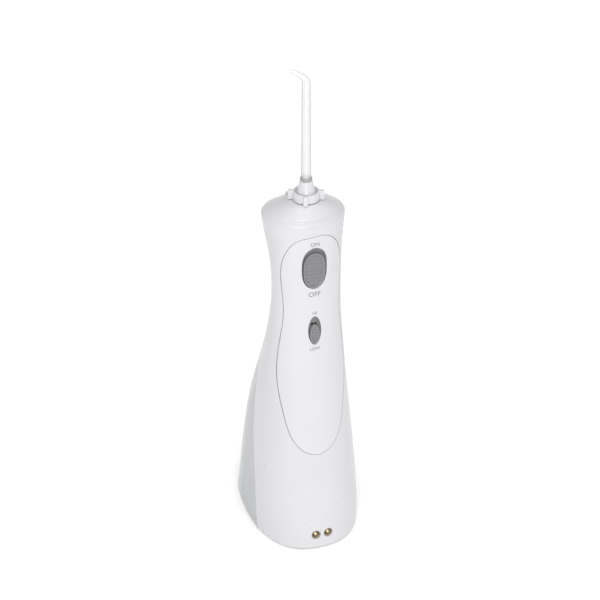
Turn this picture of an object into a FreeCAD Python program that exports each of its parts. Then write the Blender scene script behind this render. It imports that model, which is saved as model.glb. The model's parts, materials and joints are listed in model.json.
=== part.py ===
import FreeCAD
import Part
import math
import os

# Cordless water flosser: a handheld pump with a clip-on tank and a jet tip.
# Millimetres. +Z is up and -Y is the front. The origin is the middle of the footprint on the table.

V = FreeCAD.Vector

# Tip axis: everything in the head turns or sits on this vertical line.
TIP_Y = -20.5

# Outer skin of the body, one row per level: height, half width, front Y, back Y.
BODY_ROWS = [
    (0.0, 33.4, -50.9, 49.4),
    (10.0, 33.6, -50.1, 44.6),
    (35.0, 32.7, -46.2, 37.0),
    (64.0, 30.5, -42.3, 30.6),
    (95.0, 27.0, -39.0, 20.3),
    (125.0, 23.2, -36.5, 5.7),
    (150.0, 20.6, -35.2, -2.8),
    (170.0, 19.8, -34.8, -6.0),
    (190.0, 20.6, -35.1, -2.0),
    (212.0, 23.3, -35.5, 5.0),
]
RIM_Z = 212.0
BASE_SQUARENESS = 2.4
HEAD_SQUARENESS = 2.1
SECTION_POINTS = 28
BOTTOM_EDGE_R = 2.2

# Shallow dome on the head: it rises from a rounded crease at the rim to a round seat under the knob.
DOME_TOP_Z = 222.0
DOME_SEAT_R = 8.3
DOME_BULGE = 1.25
DOME_STEPS = 5
DOME_WALL = 1.7
CREASE_R = 1.6
CREASE_TURN_DEG = 52.0
CREASE_STEPS = 3

# Walls and gaps.
WALL = 2.6
PANEL_T = 1.4
TANK_WALL = 2.4
BULKHEAD_T = 1.7
SEAM_GAP = 0.3
FIT_GAP = 0.1
FAR = 150.0

# Side seam between body and tank, as (Y, Z) points from the table up.
SEAM_LOW = [(-21.0, -6.0), (-20.9, 0.0), (-19.0, 26.0), (-12.5, 60.0), (-8.0, 90.0), (-5.5, 108.0)]
TANK_TOP = [(-2.5, 113.0), (1.5, 116.3), (6.5, 118.3), (16.0, 120.2)]
BACK_SEAM = [(-6.2, 119.0), (-10.0, 140.0), (-12.2, 165.0), (-11.0, 188.0), (-5.2, 213.0)]

# Control panel outline, right half, as (X, Z) points from the top centre to the bottom centre.
PANEL_OUTLINE = [(0.0, 206.2), (10.2, 203.6), (15.9, 193.5), (17.3, 180.0), (16.3, 160.0),
                 (18.6, 137.0), (20.3, 115.0), (17.6, 88.0), (10.6, 69.6), (0.0, 64.3)]
PANEL_GROOVE = 0.25

# Sliding controls: centre height, slot size, slider length and travel, and the powers of their oval outline,
# which is flatter at the sides as "full" grows and more pointed at its ends as "tip" shrinks.
POWER = {"z": 186.3, "width": 14.4, "length": 26.1, "slider": 22.4, "travel": 3.0, "ribs": 6,
         "full": 3.0, "tip": 1.8}
PRESSURE = {"z": 146.2, "width": 7.7, "length": 18.4, "slider": 12.8, "travel": 4.6, "ribs": 4,
            "full": 2.0, "tip": 1.8}
OVAL_POINTS = 28
SLIDER_GAP = 0.35
SLIDER_SIDE_GAP = 0.8
SLIDER_PROUD = 0.5
SLIDER_DEPTH = 1.2
SLOT_FLOOR = 1.5
LINER_T = 0.9
STEM_HALF = 1.6
BOARD_Y = TIP_Y - 7.6
SWITCH_Y0 = BOARD_Y - 2.4

# Head: knob, tip and tip release.
COLLAR_Z = 222.3
COLLAR_R = 7.5
COLLAR_H = 5.0
FIN_R = 9.9
FIN_COUNT = 4
CONE_FOOT_R = 5.6
CONE_TOP_R = 3.4
CONE_TOP_Z = 233.5
SHANK_R = 2.6
SHANK_BOTTOM_Z = 206.0
TIP_BEND_Z = 292.2
NOZZLE_LEN = 8.7
NOZZLE_TILT_DEG = 61.0
NOZZLE_HEADING_DEG = 159.0
RUN_GAP = 0.05

# Gear train: an upright motor pinion drives a face gear that turns about Y.
MODULE = 0.5
PINION_TEETH = 8
GEAR_TEETH = 48
PINION_R = MODULE * PINION_TEETH / 2
GEAR_R = MODULE * GEAR_TEETH / 2
MOTOR_Y = TIP_Y - 4.7
GEAR_Z = 114.5
CRANK_THROW = 4.0
ROD_LEN = 18.0
ROD_T = 2.8
PISTON_Y = MOTOR_Y + 6.5

# Reservoir door and its hinge, in a frame that leans with the back of the tank.
DOOR_LEAN_DEG = 16.0
DOOR_FOOT = V(0, 33.9, 50.0)
DOOR_W = 31.0
DOOR_H = 45.0
DOOR_T = 1.3
DOOR_CORNER_R = 7.0
DOOR_LIP = 2.2
HINGE_OUT = 1.3
HINGE_DROP = 2.6
HINGE_PIN_R = 1.0
KNUCKLE_R = 2.1

PORT_Y = -0.8
PORT_R = 2.2

# Charging wells and their contacts.
WELLS_X = (-3.8, 3.8)
WELL_Z = 10.2
WELL_R = 2.9
PIN_R = 1.6
PIN_SHOULDER_Y = -47.9
HOLDER_BACK_Y = -40.8

# Release button, and its leg down to the latch.
BUTTON_Y0 = TIP_Y + 10.6
BUTTON_DEPTH = 8.0
LEG_Y0 = TIP_Y + 12.2
LEG_Y1 = TIP_Y + 15.4

# Bottom cover screws, then the three cells side by side.
COVER_SCREWS = [(-14.5, TIP_Y - 13.8), (14.5, TIP_Y - 13.8)]
CELL_R = 5.25
CELL_X = (-11.6, 0.0, 11.6)
CELL_Y = TIP_Y - 12.0
CELL_Z0 = 14.5
CELL_LEN = 44.5

# Motor can, and the plate and steps of the gearbox frame over it.
MOTOR_Z0 = 64.0
MOTOR_Z1 = 96.0
MOTOR_R = 10.9
PLATE_T = 2.5
FRAME_Y0 = TIP_Y - 11.9
FRAME_Y1 = TIP_Y - 10.1
STEP_Z = 130.0
STEP_Y = TIP_Y - 5.6

# Pump cylinder and piston.
CYL_Z0 = 143.0
CYL_Z1 = 163.0
CYL_R = 5.6
BORE_R = 4.0
PISTON_TOP = 161.0

# Pinion, drive gear, crank and connecting rod.
PINION_Z0 = 100.0
PINION_Z1 = 105.4
DISC_Y0 = MOTOR_Y + PINION_R + 0.6
DISC_Y1 = DISC_Y0 + 2.2
AXLE_R = 1.5
CRANK_PIN_R = 1.4
ROD_Y0 = PISTON_Y - ROD_T / 2
ROD_Y1 = PISTON_Y + ROD_T / 2
BIG_END_Z = GEAR_Z + CRANK_THROW
SMALL_END_Z = BIG_END_Z + ROD_LEN

# Valve block, inlet, tip seat and head plate.
BLOCK_Z1 = 172.0
INLET_X = 10.0
INLET_Y = PISTON_Y + 2.6
SEAT_Z0 = 200.0
SEAT_Z1 = 213.4
PLATE_Z0 = 202.8
PLATE_Z1 = 205.0


def box(x0, x1, y0, y1, z0, z1):
    return Part.makeBox(x1 - x0, y1 - y0, z1 - z0, V(x0, y0, z0))


def rod(p, d, length, r):
    return Part.makeCylinder(r, length, p, d)


def tube(p, d, length, r_out, r_in):
    return rod(p, d, length, r_out).cut(rod(p, d, length, r_in))


def upright(x, y, z0, z1, r):
    return rod(V(x, y, z0), V(0, 0, 1), z1 - z0, r)


def across(y0, y1, x, z, r):
    return rod(V(x, y0, z), V(0, 1, 0), y1 - y0, r)


def fuse(shapes):
    return shapes[0].multiFuse(shapes[1:]).removeSplitter() if len(shapes) > 1 else shapes[0]


def squareness(z):
    share = min(max(z / RIM_Z, 0.0), 1.0)
    return BASE_SQUARENESS + (HEAD_SQUARENESS - BASE_SQUARENESS) * share


def section_wire(row, inset):
    """A closed rounded outline at one level, drawn in by inset all round."""
    z, half_width, front, back = row
    a = half_width - inset
    b = (back - front) / 2 - inset
    middle = (front + back) / 2
    power = 2.0 / squareness(z)
    points = []
    for i in range(SECTION_POINTS):
        t = 2 * math.pi * (i + 0.5) / SECTION_POINTS
        c, s = math.cos(t), math.sin(t)
        x = math.copysign(a * abs(c) ** power, c)
        y = middle + math.copysign(b * abs(s) ** power, s)
        points.append(V(x, y, z))
    curve = Part.BSplineCurve()
    curve.interpolate(Points=points, PeriodicFlag=True)
    return Part.Wire([curve.toShape()])


def loft(rows, inset):
    return Part.makeLoft([section_wire(r, inset) for r in rows], True, False)


def body_solid(inset):
    return loft(BODY_ROWS, inset)


def dome_rows(rise):
    """Levels of the dome, from the rim to its round seat; rise lifts the top for an offset copy."""
    _, rim_w, rim_front, rim_back = BODY_ROWS[-1]
    rows = []
    for i in range(CREASE_STEPS + 1):
        angle = math.radians(CREASE_TURN_DEG) * i / CREASE_STEPS
        edge = CREASE_R * (1 - math.cos(angle))
        rows.append((RIM_Z + CREASE_R * math.sin(angle), rim_w - edge, rim_front + edge, rim_back - edge))
    z, w, front, back = rows[-1]
    for i in range(1, DOME_STEPS + 1):
        inward = i / DOME_STEPS
        up = 1 - (1 - inward) ** DOME_BULGE
        rows.append((z + (DOME_TOP_Z + rise - z) * up,
                     w + (DOME_SEAT_R - w) * inward,
                     front + (TIP_Y - DOME_SEAT_R - front) * inward,
                     back + (TIP_Y + DOME_SEAT_R - back) * inward))
    return rows


def side_curve(points):
    curve = Part.BSplineCurve()
    curve.interpolate(Points=[V(0, y, z) for y, z in points])
    return curve


def across_width(edges, corners):
    """A closed side view swept over the full width."""
    lines = [Part.LineSegment(corners[i], corners[i + 1]).toShape() for i in range(len(corners) - 1)]
    prism = Part.Face(Part.Wire(edges + lines)).extrude(V(FAR, 0, 0))
    prism.translate(V(-FAR / 2, 0, 0))
    return prism


def split_region(gap, far_y):
    """Everything on the far_y side of the seam that runs up the tank's front and then up the back."""
    outline = side_curve(SEAM_LOW + TANK_TOP)
    branch = V(0, *SEAM_LOW[-1])
    low = outline.toShape(outline.FirstParameter, outline.parameter(branch))
    high = side_curve([SEAM_LOW[-1]] + BACK_SEAM).toShape()
    first, last = SEAM_LOW[0], BACK_SEAM[-1]
    corners = [V(0, *last), V(0, last[0], FAR * 2), V(0, far_y, FAR * 2), V(0, far_y, -FAR),
               V(0, first[0], -FAR), V(0, *first)]
    region = across_width([low, high], corners)
    region.translate(V(0, gap, 0))
    return region


def tank_region(forward, up):
    """The space behind and below the tank's front and top faces, moved forward and up."""
    outline = side_curve(SEAM_LOW + TANK_TOP).toShape()
    first, last = SEAM_LOW[0], TANK_TOP[-1]
    corners = [V(0, *last), V(0, FAR, last[1]), V(0, FAR, first[1]), V(0, *first)]
    region = across_width([outline], corners)
    region.translate(V(0, -forward, up))
    return region


def outline_prism(points, grow, y0, y1):
    """A mirrored closed outline in X and Z, grown by a margin and run from y0 to y1."""
    widest = max(x for x, _ in points)
    middle = (points[0][1] + points[-1][1]) / 2
    wider = 1 + grow / widest
    taller = 1 + 2 * grow / abs(points[0][1] - points[-1][1])
    half = [V(x * wider, 0, middle + (z - middle) * taller) for x, z in points]
    mirrored = [V(-p.x, 0, p.z) for p in reversed(half[1:-1])]
    curve = Part.BSplineCurve()
    curve.interpolate(Points=half + mirrored, PeriodicFlag=True)
    face = Part.Face(Part.Wire([curve.toShape()]))
    prism = face.extrude(V(0, y1 - y0, 0))
    prism.translate(V(0, y0, 0))
    return prism


def oval(control, width, length, z, y0, y1):
    """A control's upright oval in X and Z, run from y0 to y1."""
    points = []
    for i in range(OVAL_POINTS):
        t = 2 * math.pi * (i + 0.5) / OVAL_POINTS
        c, s = math.cos(t), math.sin(t)
        x = math.copysign(width / 2 * abs(c) ** (2 / control["tip"]), c)
        points.append(V(x, y0, z + math.copysign(length / 2 * abs(s) ** (2 / control["full"]), s)))
    curve = Part.BSplineCurve()
    curve.interpolate(Points=points, PeriodicFlag=True)
    return Part.Face(Part.Wire([curve.toShape()])).extrude(V(0, y1 - y0, 0))


def rounded_slab(width, height, r, n0, n1):
    """A rounded rectangle standing on Z = 0 about X = 0, run along Y from n0 to n1."""
    w = width / 2
    slab = [box(-w + r, w - r, n0, n1, 0, height), box(-w, w, n0, n1, r, height - r)]
    for x in (-w + r, w - r):
        for z in (r, height - r):
            slab.append(across(n0, n1, x, z, r))
    return fuse(slab)


def lean(shape):
    """Puts a shape drawn in the door's own frame onto the leaning back of the tank."""
    placed = shape.copy()
    placed.translate(DOOR_FOOT)
    placed.rotate(DOOR_FOOT, V(1, 0, 0), DOOR_LEAN_DEG)
    return placed


def bent_path(points):
    """Straight runs joined by tangent arcs, each as large as its runs allow."""
    edges = []
    radii = []
    start = points[0]
    for i in range(1, len(points) - 1):
        before = points[i] - points[i - 1]
        after = points[i + 1] - points[i]
        turn = before.getAngle(after)
        trim = 0.45 * min(before.Length, after.Length)
        radii.append(trim / math.tan(turn / 2))
        u, w = V(before).normalize(), V(after).normalize()
        a = points[i] - u * trim
        b = points[i] + w * trim
        chord_mid = (a + b) * 0.5
        to_corner = points[i] - chord_mid
        sagitta = radii[-1] * (1 - math.cos(turn / 2))
        middle = chord_mid + V(to_corner).normalize() * sagitta
        edges.append(Part.LineSegment(start, a).toShape())
        edges.append(Part.Arc(a, middle, b).toShape())
        start = b
    edges.append(Part.LineSegment(start, points[-1]).toShape())
    return Part.Wire(edges), radii


def hose(points, r_out, r_in):
    """A hose along straight runs and tangent arcs, made piece by piece so that every wall is exact."""
    wire, radii = bent_path(points)
    print("hose radii", [round(r, 1) for r in radii], "length", round(wire.Length, 1))
    pieces = []
    for r in (r_out, r_in):
        profile = Part.Wire([Part.Circle(points[0], points[1] - points[0], r).toShape()])
        pieces.append(wire.makePipeShell([profile], True, False))
    return pieces[0].cut(pieces[1])


def ring(x, y, z0, z1, r_out, r_in):
    return tube(V(x, y, z0), V(0, 0, 1), z1 - z0, r_out, r_in)


def torus(x, y, z, r_mid, r_wire):
    return Part.makeTorus(r_mid, r_wire, V(x, y, z), V(0, 0, 1))


def screw(x, y, z, up, head_r, shank_r, length):
    """A pan-head screw whose head sits on Z = z and whose shank points up (+1) or down (-1)."""
    d = V(0, 0, up)
    head = rod(V(x, y, z) - d * 1.2, d, 1.2, head_r)
    slot = box(x - head_r, x + head_r, y - 0.2, y + 0.2, z - up * 1.2 - 0.5, z - up * 1.2 + 0.5)
    return head.cut(slot).fuse(rod(V(x, y, z), d, length, shank_r))


OUTER = body_solid(0)
INNER = body_solid(WALL)
MID = body_solid(PANEL_T + FIT_GAP)
PANEL_BACK = body_solid(PANEL_T)
AHEAD = split_region(0, -FAR)


def rounded_foot():
    """The whole outer body with its lowest edge rounded off."""
    lowest = [edge for edge in OUTER.Edges if edge.BoundBox.ZMax < 0.01]
    return OUTER.makeFillet(BOTTOM_EDGE_R, lowest)


SKIN = rounded_foot()


def switch_holes(grow):
    holes = []
    for control in (POWER, PRESSURE):
        holes.append(oval(control, control["width"] + 2 * grow, control["length"] + 2 * grow, control["z"],
                          -60, TIP_Y - 6))
    return fuse(holes)


def front_housing():
    shell = SKIN.cut(INNER).common(AHEAD)
    recess = outline_prism(PANEL_OUTLINE, PANEL_GROOVE, -60, TIP_Y).cut(MID)
    shell = shell.cut(recess).cut(switch_holes(0))
    for x in WELLS_X:
        shell = shell.cut(across(-60, -40, x, WELL_Z, WELL_R))
    return shell


def control_panel():
    panel = outline_prism(PANEL_OUTLINE, 0, -60, TIP_Y).common(OUTER).cut(PANEL_BACK)
    return panel.cut(switch_holes(0))


def rear_housing():
    behind = split_region(0.05, FAR)
    tank_space = tank_region(0, 0)
    ceiling_space = tank_region(BULKHEAD_T, BULKHEAD_T)
    back = OUTER.common(behind).common(box(-FAR, FAR, -FAR, FAR, 60, RIM_Z)).cut(tank_space)
    back = back.cut(INNER.cut(ceiling_space))
    wall = body_solid(WALL + FIT_GAP).common(ceiling_space.cut(tank_space)).common(
        box(-FAR, FAR, -FAR, 1.0, 0.4, 116))
    shell = back.fuse(wall).removeSplitter()
    return shell.cut(upright(0, PORT_Y, 100, 135, PORT_R))


def top_cap():
    outer = loft(dome_rows(0), 0)
    inner_rows = [(z - DOME_WALL, w - WALL, f + WALL, b - WALL) for z, w, f, b in dome_rows(0)]
    inner = loft(inner_rows, 0)
    cap = outer.cut(inner)
    cap = cap.cut(upright(0, TIP_Y, 200, 230, 6.0 + RUN_GAP))
    return cap.cut(eject_prism(0.35))


def eject_prism(grow):
    w, d, r = 13.0 + 2 * grow, BUTTON_DEPTH + 2 * grow, 2.5 + grow
    y0 = BUTTON_Y0 - grow
    slab = [box(-w / 2 + r, w / 2 - r, y0, y0 + d, 205, 235),
            box(-w / 2, w / 2, y0 + r, y0 + d - r, 205, 235)]
    for x in (-w / 2 + r, w / 2 - r):
        for y in (y0 + r, y0 + d - r):
            slab.append(upright(x, y, 205, 235, r))
    return fuse(slab)


def bottom_cover():
    plate = body_solid(WALL + FIT_GAP).common(box(-FAR, FAR, -FAR, FAR, 0.3, 2.8))
    cover = plate.cut(tank_region(BULKHEAD_T + 0.3, BULKHEAD_T + 0.3))
    for x, y in COVER_SCREWS:
        cover = cover.cut(upright(x, y, -1, 5, 1.3)).cut(upright(x, y, -1, 1.6, 2.6))
    return cover


def slider(control):
    """A finger slider in its slot: dished, ribbed, and resting at the low end of its travel."""
    z = control["z"] - (control["length"] - control["slider"]) / 2 + SLIDER_GAP
    width = control["width"] - 2 * SLIDER_SIDE_GAP
    proud = body_solid(-SLIDER_PROUD)
    block = oval(control, width, control["slider"], z, -60, TIP_Y - 6)
    block = block.common(proud).cut(body_solid(SLIDER_DEPTH))
    face_y = block.BoundBox.YMin
    dish_r = control["slider"] * 1.05
    depth = SLIDER_PROUD + 0.2
    dish = rod(V(-width, face_y + depth - dish_r, z), V(1, 0, 0), 2 * width, dish_r)
    inset = width * 0.13
    pocket = oval(control, width - 2 * inset, control["slider"] - 2 * inset, z, -60, TIP_Y)
    block = block.cut(dish.common(pocket))
    pitch = control["slider"] * 0.62 / control["ribs"]
    for i in range(control["ribs"]):
        gz = z + (i - (control["ribs"] - 1) / 2) * pitch
        sag = dish_r - math.sqrt(dish_r ** 2 - (gz - z) ** 2)
        floor = face_y + depth - sag
        groove = box(-width * 0.3, width * 0.3, floor - 1.5, floor + 0.25,
                     gz - pitch * 0.17, gz + pitch * 0.17)
        block = block.cut(groove)
    stem = box(-1.4, 1.4, face_y + 1.4, SWITCH_Y0 + 0.9, z - STEM_HALF, z + STEM_HALF)
    return block.fuse(stem).removeSplitter()


def liner(control):
    """The grey tray under a slider, which fills the slot up to a shallow floor round the slider's stem."""
    plate = oval(control, control["width"] + 3.0, control["length"] + 3.0, control["z"], -60, TIP_Y - 6)
    plate = plate.common(body_solid(WALL + 0.02))
    floor = oval(control, control["width"] - 0.1, control["length"] - 0.1, control["z"], -60, TIP_Y - 6)
    plate = plate.fuse(floor.common(body_solid(SLOT_FLOOR))).cut(body_solid(WALL + LINER_T))
    half = STEM_HALF + control["travel"] / 2 + SLIDER_GAP
    return plate.cut(box(-1.7, 1.7, -60, TIP_Y, control["z"] - half, control["z"] + half))


def switch_body(control):
    half = STEM_HALF + control["travel"] / 2 + SLIDER_GAP
    body = box(-4.0, 4.0, SWITCH_Y0, BOARD_Y, control["z"] - half - 1.0, control["z"] + half + 1.0)
    slot = box(-1.7, 1.7, SWITCH_Y0 - 0.5, SWITCH_Y0 + 1.3, control["z"] - half, control["z"] + half)
    return body.cut(slot)


def circuit_board():
    board = box(-9.5, 9.5, BOARD_Y, BOARD_Y + 1.0, 137.0, 201.0)
    return board.cut(across(-60, 0, -6.5, 205, 1.1)).cut(across(-60, 0, 7.0, 165, 1.1))


def board_parts():
    """Chips and a capacitor on the back of the board, as separate solids."""
    y = TIP_Y - 6.6
    chips = [box(-8.2, -3.8, y, y + 1.1, 190.0, 196.0), box(4.6, 8.6, y, y + 1.0, 186.0, 190.0),
             box(-8.6, -6.4, y, y + 0.8, 182.0, 185.0), across(y, y + 2.2, 6.4, 179.6, 1.9)]
    return Part.makeCompound(chips)


def contact_holder():
    block = box(-8.4, 8.4, PIN_SHOULDER_Y + 1.6, HOLDER_BACK_Y, WELL_Z - 4.4, WELL_Z + 4.4)
    block = block.common(body_solid(WALL + FIT_GAP))
    cups = [across(-60, HOLDER_BACK_Y, x, WELL_Z, WELL_R - 0.05).common(body_solid(0.5)) for x in WELLS_X]
    holder = fuse([block] + cups)
    for x in WELLS_X:
        holder = holder.cut(across(-60, PIN_SHOULDER_Y + 1.0, x, WELL_Z, WELL_R - 0.55))
        holder = holder.cut(across(-60, -30, x, WELL_Z, PIN_R))
    return holder


def charge_contacts():
    pins = []
    for x in WELLS_X:
        head = Part.makeSphere(PIN_R, V(x, PIN_SHOULDER_Y, WELL_Z))
        head = head.common(across(-60, PIN_SHOULDER_Y, x, WELL_Z, WELL_R))
        pins.append(fuse([across(PIN_SHOULDER_Y, HOLDER_BACK_Y + 0.3, x, WELL_Z, PIN_R), head]))
    return Part.makeCompound(pins)


def battery_cell(x):
    can = upright(x, CELL_Y, CELL_Z0, CELL_Z0 + CELL_LEN - 0.8, CELL_R)
    return fuse([can, upright(x, CELL_Y, CELL_Z0 + CELL_LEN - 0.8, CELL_Z0 + CELL_LEN, 1.9)])


def battery_holder():
    base = box(-18.2, 18.2, CELL_Y - 6.0, CELL_Y + 6.6, CELL_Z0 - 5.4, CELL_Z0 + 5.0)
    posts = [box(-18.2, 18.2, CELL_Y + 5.4, CELL_Y + 7.2, CELL_Z0 + 5.0, CELL_Z0 + CELL_LEN)]
    feet = [upright(x, y, 2.9, CELL_Z0 - 5.0, 2.6) for x, y in COVER_SCREWS]
    tray = fuse([base] + posts + feet).common(body_solid(WALL + 0.5))
    tray = tray.cut(tank_region(BULKHEAD_T + 0.3, BULKHEAD_T + 0.3))
    for x in CELL_X:
        tray = tray.cut(upright(x, CELL_Y, CELL_Z0 - 0.5, CELL_Z0 + CELL_LEN + 1, CELL_R + 0.1))
    for x, y in COVER_SCREWS:
        tray = tray.cut(upright(x, y, 2.0, 8.0, 1.2))
    return tray.cut(box(CELL_X[0], CELL_X[1], CELL_Y - 2.6, CELL_Y + 2.6, CELL_Z0 - 0.5, CELL_Z0 + 6.0))


def battery_tabs():
    """Nickel strips that join the cells in series, under and over them."""
    z = CELL_Z0 - 0.45
    low = box(CELL_X[0] - 3, CELL_X[1] + 3, CELL_Y - 2.4, CELL_Y + 2.4, z, CELL_Z0)
    single = box(CELL_X[2] - 3, CELL_X[2] + 3, CELL_Y - 2.4, CELL_Y + 2.4, z, CELL_Z0)
    top = CELL_Z0 + CELL_LEN
    high = box(CELL_X[1] - 2.4, CELL_X[2] + 2.4, CELL_Y - 2.4, CELL_Y + 2.4, top, top + 0.3)
    lone = box(CELL_X[0] - 2.4, CELL_X[0] + 2.4, CELL_Y - 2.4, CELL_Y + 2.4, top, top + 0.3)
    return Part.makeCompound([low, single, high, lone])


def motor_can():
    can = upright(0, MOTOR_Y, MOTOR_Z0, MOTOR_Z1, MOTOR_R)
    can = can.cut(upright(0, MOTOR_Y, MOTOR_Z0 - 1, MOTOR_Z0 + 3, MOTOR_R - 1.2))
    can = can.fuse(ring(0, MOTOR_Y, MOTOR_Z1, MOTOR_Z1 + 1.5, 3.0, 1.5)).removeSplitter()
    return can.cut(upright(0, MOTOR_Y, MOTOR_Z0 - 1, MOTOR_Z1 + 2, 1.0 + RUN_GAP))


def motor_end_cap():
    plug = upright(0, MOTOR_Y, MOTOR_Z0 - 1.4, MOTOR_Z0 + 3, MOTOR_R - 1.2)
    plug = plug.cut(upright(0, MOTOR_Y, MOTOR_Z0 - 2, MOTOR_Z0 + 4, 1.0 + RUN_GAP))
    lugs = [box(x - 1.2, x + 1.2, MOTOR_Y - 0.3, MOTOR_Y + 0.3, MOTOR_Z0 - 4.4, MOTOR_Z0 - 1.4)
            for x in (-6.5, 6.5)]
    return fuse([plug] + lugs)


def motor_shaft():
    return upright(0, MOTOR_Y, MOTOR_Z0 - 1.2, MOTOR_Z1 + 9.6, 1.0)


def pinion():
    """Eight slim teeth on a hub; one tooth points at the face gear when the pump is at rest."""
    root_r, tip_r = PINION_R - 0.65, PINION_R + 0.40
    hub = upright(0, MOTOR_Y, PINION_Z0, PINION_Z1, root_r)
    teeth = []
    for i in range(PINION_TEETH):
        tooth = Part.makePolygon([V(-0.34, 0.9, 0), V(0.34, 0.9, 0), V(0.13, tip_r, 0), V(-0.13, tip_r, 0),
                                  V(-0.34, 0.9, 0)])
        solid = Part.Face(tooth).extrude(V(0, 0, PINION_Z1 - PINION_Z0))
        solid.translate(V(0, MOTOR_Y, PINION_Z0))
        solid.rotate(V(0, MOTOR_Y, 0), V(0, 0, 1), 360.0 * i / PINION_TEETH)
        teeth.append(solid)
    return fuse([hub] + teeth).cut(upright(0, MOTOR_Y, PINION_Z0 - 1, PINION_Z1 + 1, 1.0))


def drive_gear():
    """A face gear: 48 radial teeth stand on the disc's front rim and a hub turns on the axle."""
    disc = across(DISC_Y0, DISC_Y1, 0, GEAR_Z, GEAR_R + 1.3)
    hub = across(FRAME_Y1 + 1.1, DISC_Y1, 0, GEAR_Z, 3.1)
    depth = 0.95
    teeth = []
    for i in range(GEAR_TEETH):
        outline = Part.makePolygon([V(-0.36, 0.1, 0), V(0.36, 0.1, 0),
                                    V(0.13, -depth, 0), V(-0.13, -depth, 0),
                                    V(-0.36, 0.1, 0)])
        solid = Part.Face(outline).extrude(V(0, 0, 2.4))
        solid.translate(V(0, DISC_Y0, GEAR_Z - GEAR_R - 1.2))
        solid.rotate(V(0, 0, GEAR_Z), V(0, 1, 0), 360.0 * (i + 0.5) / GEAR_TEETH)
        teeth.append(solid)
    gear = fuse([disc, hub] + teeth)
    for x in (-7.0, 7.0):
        gear = gear.cut(across(DISC_Y0 - 3, DISC_Y1 + 1, x, GEAR_Z, 2.2))
    gear = gear.cut(across(FRAME_Y1, DISC_Y1 + 1, 0, GEAR_Z, AXLE_R + RUN_GAP))
    return gear.cut(across(DISC_Y0 - 3, DISC_Y1 + 1, 0, GEAR_Z + CRANK_THROW, CRANK_PIN_R))


def gear_axle():
    return across(FRAME_Y0, DISC_Y1 - 0.1, 0, GEAR_Z, AXLE_R)


def crank_pin():
    pin = across(DISC_Y0 + 0.2, PISTON_Y + ROD_T / 2 + 0.3, 0, GEAR_Z + CRANK_THROW, CRANK_PIN_R)
    head = across(PISTON_Y + ROD_T / 2 + 0.3, PISTON_Y + ROD_T / 2 + 1.0, 0, GEAR_Z + CRANK_THROW, 2.0)
    return fuse([pin, head])


def connecting_rod():
    ends = [across(ROD_Y0, ROD_Y1, 0, BIG_END_Z, 3.0), across(ROD_Y0, ROD_Y1, 0, SMALL_END_Z, 2.2)]
    shank = box(-1.2, 1.2, ROD_Y0 + 0.4, ROD_Y1 - 0.4, BIG_END_Z, SMALL_END_Z)
    solid = fuse(ends + [shank])
    solid = solid.cut(across(ROD_Y0 - 1, ROD_Y1 + 1, 0, BIG_END_Z, CRANK_PIN_R + RUN_GAP))
    return solid.cut(across(ROD_Y0 - 1, ROD_Y1 + 1, 0, SMALL_END_Z, 1.0))


def wrist_pin():
    return across(ROD_Y0, ROD_Y1, 0, SMALL_END_Z, 1.0)


def piston():
    """Plunger and fork in one moulding; the fork straddles the rod's small end."""
    plunger = upright(0, PISTON_Y, SMALL_END_Z + 5.0, PISTON_TOP, BORE_R - 0.12)
    groove = ring(0, PISTON_Y, PISTON_TOP - 3.2, PISTON_TOP - 1.4, BORE_R + 1, BORE_R - 1.2)
    fork = [box(-2.4, 2.4, y0, y0 + 1.2, SMALL_END_Z - 2.0, SMALL_END_Z + 6.0)
            for y0 in (ROD_Y0 - 1.6, ROD_Y1 + 0.4)]
    bridge = box(-2.4, 2.4, ROD_Y0 - 1.6, ROD_Y1 + 1.6, SMALL_END_Z + 2.8, SMALL_END_Z + 6.0)
    return fuse([plunger.cut(groove), bridge] + fork).common(upright(0, PISTON_Y, 120, 170, BORE_R - 0.12))


def piston_seal():
    return ring(0, PISTON_Y, PISTON_TOP - 3.2, PISTON_TOP - 1.4, BORE_R, BORE_R - 1.2)


def pump_cylinder():
    barrel = ring(0, PISTON_Y, CYL_Z0, CYL_Z1, CYL_R, BORE_R)
    flange = box(-9.5, 9.5, PISTON_Y - 3.2, PISTON_Y + 3.2, CYL_Z0 + 1.0, CYL_Z0 + 3.4).cut(
        upright(0, PISTON_Y, CYL_Z0, CYL_Z0 + 4, BORE_R))
    body = barrel.fuse(flange).removeSplitter()
    for x in (-7.6, 7.6):
        body = body.cut(upright(x, PISTON_Y, CYL_Z0, CYL_Z0 + 5, 0.9))
    return body


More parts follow.
